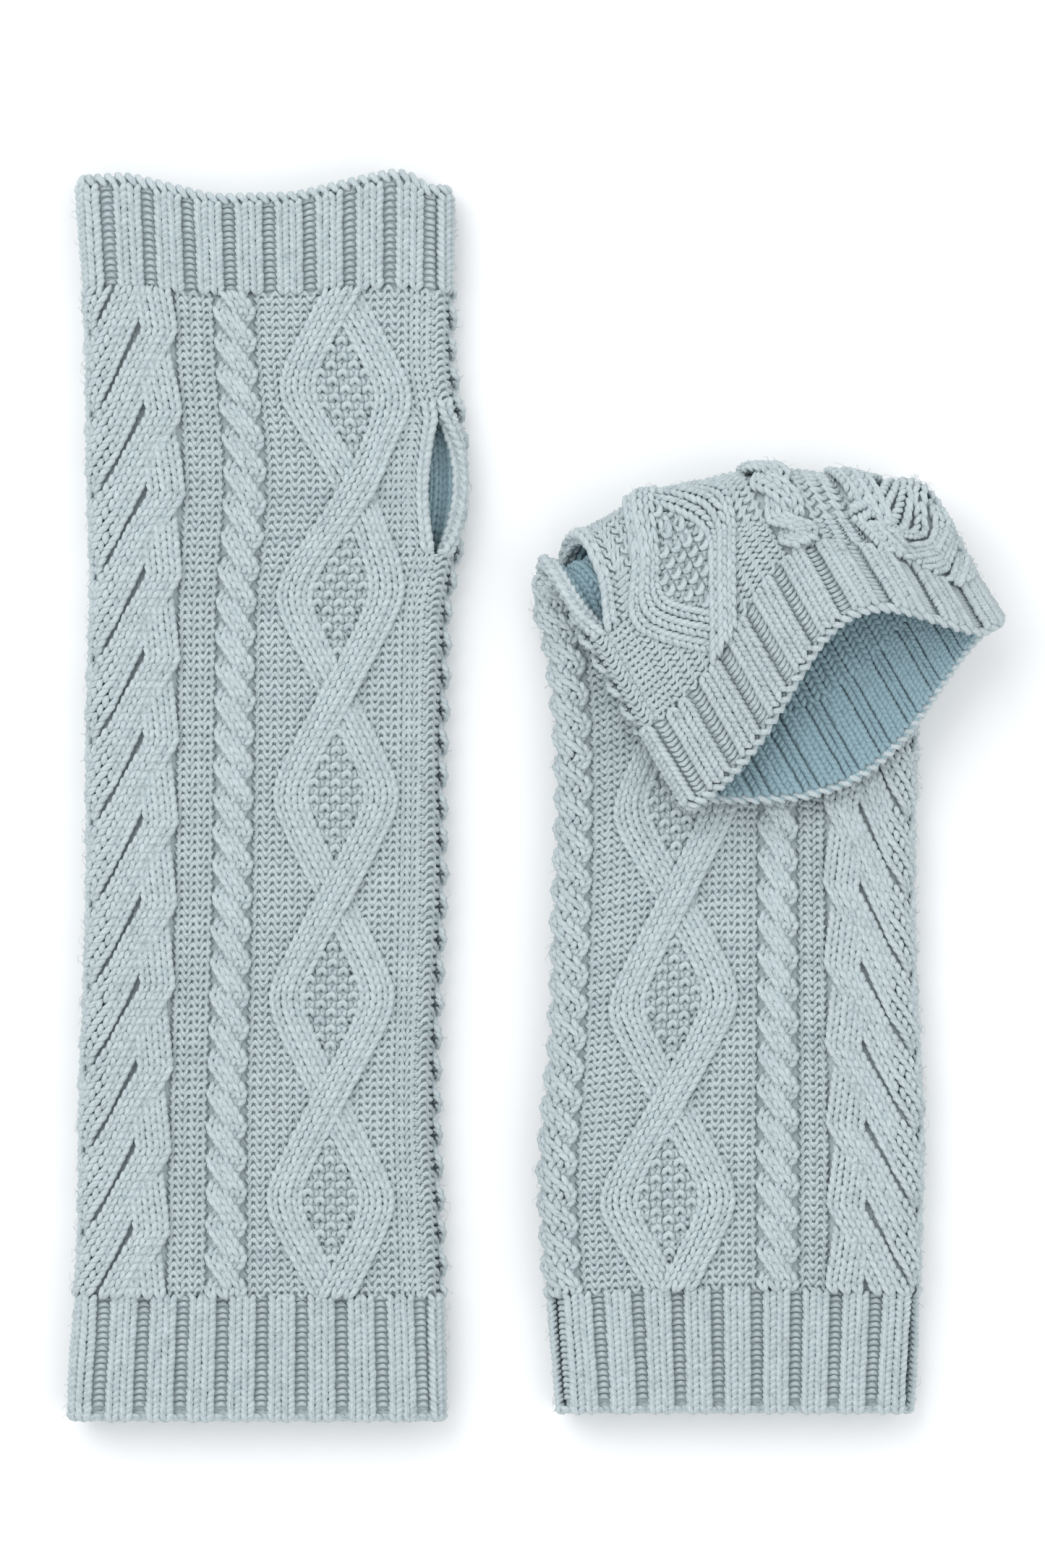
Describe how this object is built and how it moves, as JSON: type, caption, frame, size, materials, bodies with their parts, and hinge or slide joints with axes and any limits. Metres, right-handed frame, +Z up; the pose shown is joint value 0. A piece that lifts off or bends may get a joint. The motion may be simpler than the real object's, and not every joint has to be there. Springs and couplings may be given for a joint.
{
  "type": "fingerless gloves",
  "caption": "Pair of long cable-knit fingerless gloves: ribbed open tubes with a thumb slit; one lies flat, the other has its hand end folded forward.",
  "frame": {"origin": "middle of the pair's underside, on the table", "axes": "+Y along the gloves towards the finger ends, +X from the left glove to the right one, +Z up from the table"},
  "size_m": [0.233, 0.3112, 0.0414],
  "materials": {
    "rib_knit": "two-by-two ribbed wool knit",
    "purl_knit": "purl-side wool knit ground",
    "braid_cable": "wide plaited cable in wool knit",
    "rope_cable": "twisted rope cable in wool knit",
    "diamond_cable": "crossed diamond cable with moss stitch",
    "edge_chain": "chain of edge stitches",
    "seam_yarn": "sewn side seam in the same yarn",
    "thumb_edge": "knit selvedge of the thumb slit",
    "wrist_knit": "patterned wool knit that bends at the wrist"
  },
  "bodies": {
    "left_arm": {"left_arm_braid_cable": "braid_cable", "left_arm_diamond_cable_1": "diamond_cable", "left_arm_diamond_cable_2": "diamond_cable", "left_arm_purl_ground_a": "purl_knit", "left_arm_purl_ground_b": "purl_knit", "left_arm_rope_cable_1": "rope_cable", "left_arm_rope_cable_2": "rope_cable", "left_arm_rope_cable_3": "rope_cable", "left_arm_side_seam": "seam_yarn", "left_cast_on_edge": "edge_chain", "left_cuff_rib_a": "rib_knit", "left_cuff_rib_b": "rib_knit"},
    "left_hand": {"left_bind_off_edge": "edge_chain", "left_finger_rib_a": "rib_knit", "left_finger_rib_b": "rib_knit", "left_hand_braid_cable": "braid_cable", "left_hand_diamond_cable_1": "diamond_cable", "left_hand_diamond_cable_2": "diamond_cable", "left_hand_purl_ground_a": "purl_knit", "left_hand_purl_ground_b": "purl_knit", "left_hand_rope_cable_1": "rope_cable", "left_hand_rope_cable_2": "rope_cable", "left_hand_rope_cable_3": "rope_cable", "left_hand_side_seam": "seam_yarn", "left_thumb_edge_a": "thumb_edge", "left_thumb_edge_b": "thumb_edge", "left_wrist_fold_a": "wrist_knit", "left_wrist_fold_b": "wrist_knit"},
    "right_arm": {"right_arm_braid_cable": "braid_cable", "right_arm_diamond_cable_1": "diamond_cable", "right_arm_diamond_cable_2": "diamond_cable", "right_arm_purl_ground_a": "purl_knit", "right_arm_purl_ground_b": "purl_knit", "right_arm_rope_cable_1": "rope_cable", "right_arm_rope_cable_2": "rope_cable", "right_arm_rope_cable_3": "rope_cable", "right_arm_side_seam": "seam_yarn", "right_cast_on_edge": "edge_chain", "right_cuff_rib_a": "rib_knit", "right_cuff_rib_b": "rib_knit"},
    "right_hand": {"right_bind_off_edge": "edge_chain", "right_finger_rib_a": "rib_knit", "right_finger_rib_b": "rib_knit", "right_hand_braid_cable": "braid_cable", "right_hand_diamond_cable_1": "diamond_cable", "right_hand_diamond_cable_2": "diamond_cable", "right_hand_purl_ground_a": "purl_knit", "right_hand_purl_ground_b": "purl_knit", "right_hand_rope_cable_1": "rope_cable", "right_hand_rope_cable_2": "rope_cable", "right_hand_rope_cable_3": "rope_cable", "right_hand_side_seam": "seam_yarn", "right_thumb_edge_a": "thumb_edge", "right_thumb_edge_b": "thumb_edge", "right_wrist_fold_a": "wrist_knit", "right_wrist_fold_b": "wrist_knit"}
  },
  "joints": [
    {"name": "left_wrist_fold", "type": "hinge", "parent": "left_arm", "child": "left_hand", "pos_m": [-0.06874, 0.0779, 0.0155], "axis": [1, 0, 0], "range_deg": [0, 150], "deforming": ["left_thumb_edge_a", "left_thumb_edge_b", "left_wrist_fold_a", "left_wrist_fold_b"]},
    {"name": "pair_spread", "type": "slide", "parent": "left_arm", "child": "right_arm", "axis": [1, 0, 0], "range_m": [0, 0.12]},
    {"name": "right_wrist_fold", "type": "hinge", "parent": "right_arm", "child": "right_hand", "pos_m": [0.05026, 0.0619, 0.0155], "axis": [-0.9659, -0.2588, 0], "range_deg": [0, 90], "deforming": ["right_thumb_edge_a", "right_thumb_edge_b", "right_wrist_fold_a", "right_wrist_fold_b"]}
  ]
}
